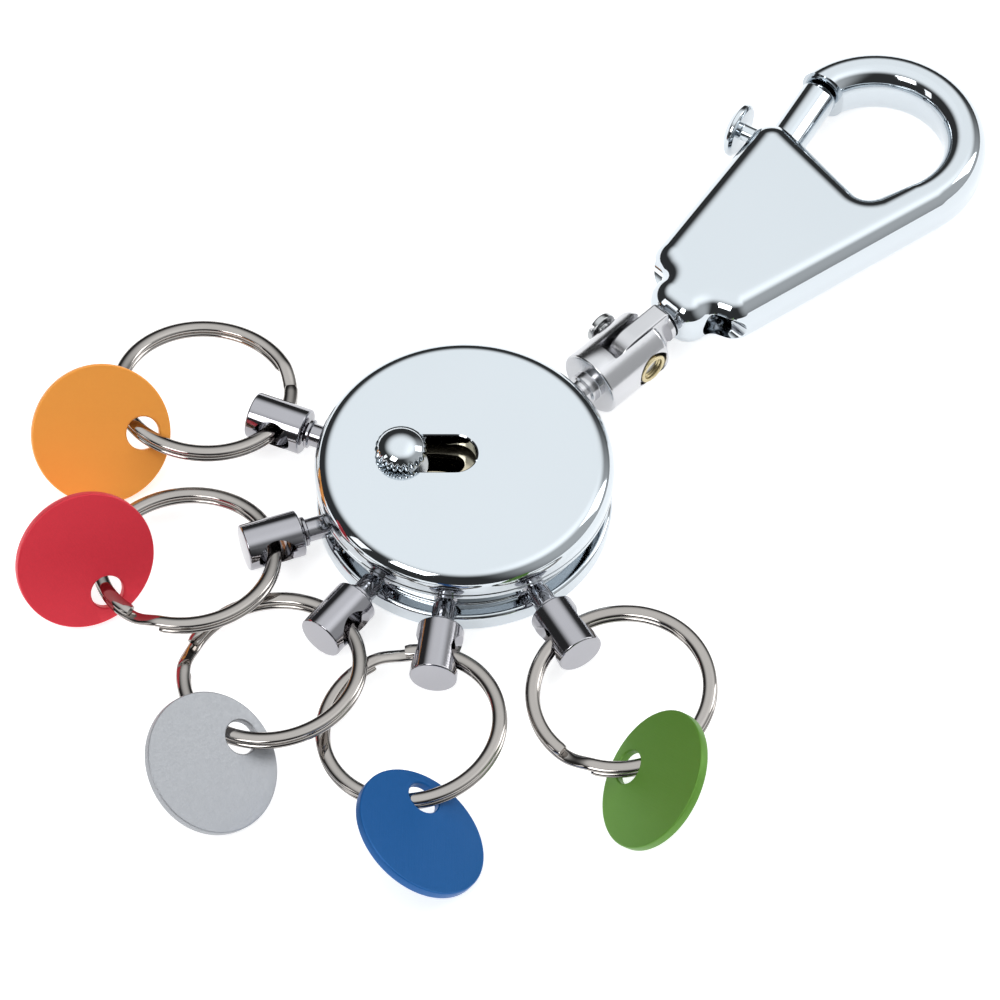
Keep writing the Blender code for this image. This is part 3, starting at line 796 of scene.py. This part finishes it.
def gateFrame():
    # Z along the plunger towards the hook's nose, X towards the thumb knob, at the body's face
    along = -Vector(joints["gate_slide"]["axis"])
    knobSide = Vector((0, 0, 1)).cross(along)
    front = Vector((*clip["gateFront"], joints["clip_swivel"]["pos_m"][2] / mm)) * mm
    return axesMatrix(front, knobSide, along)


def makeClip():
    c = clip
    outline, shares = clipOutline()
    body = prism("clipBody", pillowLayers(outline, c["low"], c["high"], c["edge"], 9, shares))
    gate = gateFrame()
    height = joints["clip_swivel"]["pos_m"][2]
    crosswise = axesMatrix((c["windowAt"] * mm, 0, height), (1, 0, 0), (0, 1, 0))
    window = turned("window", [(0, 9, 0), (c["windowRadius"], 9, 0), (c["windowRadius"], -9, 0),
                               (0, -9, 0)], crosswise, 64)
    slotHalf = c["knobSlotHalf"]
    back = c["knobBack"] - c["travel"] - 0.05
    slot = slotOutline(back, c["knobBack"] + 0.05, slotHalf)
    # from here X is along the plunger and Z is the way the thumb knob stands
    upright = (gate.col[2].to_3d(), gate.col[0].to_3d())
    combine(body, [
        turned("gateBore", [(0, 3.4, 0), (2.75, 3.4, 0), (c["gateBore"], -0.1, 0),
                            (c["gateBore"], -17, 0), (0, -17, 0)], gate, 64),
        turned("swivelBore", [(0, 35, 0), (1.6, 35, 0), (1.6, 31.2, 0), (2.1, 30.6, 0),
                              (2.1, 29, 0), (0, 29, 0)], clipAxis(), 48),
        window,
        prism("knobSlot", [(slot, 0), (slot, 8)], axesMatrix(gate.translation, *upright)),
        noseCutter(gate)])
    finishPiece(body, finishes["chrome"], "clip", ["clip_body"], 42)

    tip, tail, end = c["gateTip"], c["gateTail"], c["tailEnd"]
    plunger = turned("gatePlunger", [(0, tip, 0), (c["gateRadius"], tip, 0.35),
                                     (c["gateRadius"], tail, 0.2), (c["tailRadius"], tail, 0.1),
                                     (c["tailRadius"], end, 0.2), (0, end, 0)], gate, 80)
    seat = axesMatrix(gate @ Vector((0, 0, c["knobBack"] * mm)), *upright)
    combine(plunger, [turned("seatTool", [(0, 4, 0), (1.1, 4, 0), (1.1, 0.2, 0), (0, 0.2, 0)],
                             seat, 32)])
    finishPiece(plunger, finishes["chrome"], "gate", ["gate_plunger"], 40)
    dome = [(c["knobDome"] * sin(radians(a)), c["knobTop"] + cos(radians(a)), 0)
            for a in range(0, 76, 6)]
    knob = turned("thumbKnob", dome + [(3.1, 5.6, 0.15), (3.1, 5.15, 0.2), (2.7, 4.9, 0.2),
                                       (0.95, 4.9, 0.2), (0.9, 0.5, 0.1), (0, 0.5, 0)], seat, 72)
    finishPiece(knob, finishes["chrome"], "gate", ["thumb_knob"], 50)


def noseCutter(gate):
    # a block that trims the hook's end square to the plunger
    c = clip
    return roundedBlock("noseTool", (-4.5, -6, 0.5), (4.5, 6, c["gateTip"] + 0.3), 0.05, gate)


makeClip()
print("clip made")


keptFinishes = {"lock_ring": "warmNickel", "lock_spring": "brightSteel",
                "stem_clip": "brightSteel", "gate_spring": "brightSteel"}
for nodeName, finishName in keptFinishes.items():
    node = frame["nodes"][nodeName]
    for materialSlot in node.material_slots:
        materialSlot.material = finishes[finishName]
print("kept solids finished:", len(keptFinishes))


studio = dict(floorSize=1.6, floorColour=(0.82, 0.825, 0.83), floorGlow=0.62,
              cardAzimuth=135, cardTilt=12, cardInner=22, cardOuter=54, cardLevel=1.27,
              sideAzimuth=40, sideTilt=62, sideInner=10, sideOuter=62, sideLevel=0.55,
              darkLevel=0.045, cardColour=(0.965, 0.99, 1.0))
# each softbox: azimuth, elevation, width and height in metres, power in watts
softboxes = {"rightSoftbox": (62, 30, (0.28, 0.5), 1.5),
             "leftSoftbox": (-118, 24, (0.16, 0.4), 0.35),
             "frontSoftbox": (-84, 46, (0.34, 0.34), 2.2)}
softboxDistance = 0.9
view = dict(azimuth=-45, elevation=55, distance=0.6, lens=201.96, shift=(0.0355, 0.0082))


def directionTo(azimuth, elevation):
    a, e = radians(azimuth), radians(elevation)
    return Vector((sin(a) * cos(e), -cos(a) * cos(e), sin(e)))


def makeFloor():
    size = studio["floorSize"]
    bpy.ops.mesh.primitive_plane_add(size=size, location=(0, 0, -0.0002))
    floor = bpy.context.active_object
    floor.name = "studioFloor"
    material, *_, shader = newMaterial("paleFloor")
    shader.inputs["Base Color"].default_value = (*studio["floorColour"], 1)
    shader.inputs["Roughness"].default_value = 0.9
    shader.inputs["Specular IOR Level"].default_value = 0.0
    shader.inputs["Emission Color"].default_value = (1, 1, 1, 1)
    shader.inputs["Emission Strength"].default_value = studio["floorGlow"]
    floor.data.materials.append(material)


def softPatch(nodes, links, direction, towards, inner, outer, level):
    # a soft-edged bright patch of the surroundings, seen within an angle of one direction
    dot = nodes.new("ShaderNodeVectorMath")
    dot.operation = "DOT_PRODUCT"
    dot.inputs[1].default_value = towards
    links.new(direction, dot.inputs[0])
    ramp = nodes.new("ShaderNodeMapRange")
    ramp.interpolation_type = "SMOOTHSTEP"
    ramp.inputs["From Min"].default_value = cos(radians(outer))
    ramp.inputs["From Max"].default_value = cos(radians(inner))
    ramp.inputs["To Min"].default_value = 0
    ramp.inputs["To Max"].default_value = level
    links.new(dot.outputs["Value"], ramp.inputs["Value"])
    return ramp.outputs["Result"]


def addLevels(nodes, links, first, second):
    total = nodes.new("ShaderNodeMath")
    total.operation = "ADD"
    links.new(first, total.inputs[0])
    if isinstance(second, float):
        total.inputs[1].default_value = second
    else:
        links.new(second, total.inputs[1])
    return total.outputs["Value"]


def makeWorld():
    s = studio
    world = bpy.data.worlds.new("studio")
    bpy.context.scene.world = world
    world.use_nodes = True
    nodes, links = world.node_tree.nodes, world.node_tree.links
    background = nodes["Background"]
    place = nodes.new("ShaderNodeTexCoord").outputs["Generated"]
    card, side = (softPatch(nodes, links, place,
                            directionTo(s[kind + "Azimuth"], 90 - s[kind + "Tilt"]),
                            s[kind + "Inner"], s[kind + "Outer"], s[kind + "Level"])
                  for kind in ("card", "side"))
    level = addLevels(nodes, links, addLevels(nodes, links, card, side), s["darkLevel"])
    background.inputs["Color"].default_value = (*s["cardColour"], 1)
    links.new(level, background.inputs["Strength"])


def aimAtMiddle(item, azimuth, elevation, distance):
    back = directionTo(azimuth, elevation)
    item.location = back * distance
    item.rotation_mode = "QUATERNION"
    item.rotation_quaternion = (-back).to_track_quat("-Z", "Y")


def makeLights():
    for name, (azimuth, elevation, size, power) in softboxes.items():
        light = bpy.data.lights.new(name, "AREA")
        light.shape = "RECTANGLE"
        light.size, light.size_y = size
        light.energy = power
        lamp = bpy.data.objects.new(name, light)
        bpy.context.scene.collection.objects.link(lamp)
        aimAtMiddle(lamp, azimuth, elevation, softboxDistance)


def makeCamera():
    data = bpy.data.cameras.new("camera")
    data.lens = view["lens"]
    data.sensor_width = 36
    data.shift_x, data.shift_y = view["shift"]
    data.clip_start = 0.01
    camera = bpy.data.objects.new("camera", data)
    bpy.context.scene.collection.objects.link(camera)
    aimAtMiddle(camera, view["azimuth"], view["elevation"], view["distance"])
    bpy.context.scene.camera = camera


makeFloor()
makeWorld()
makeLights()
makeCamera()
bpy.context.scene.view_settings.view_transform = "Standard"
print("studio made")
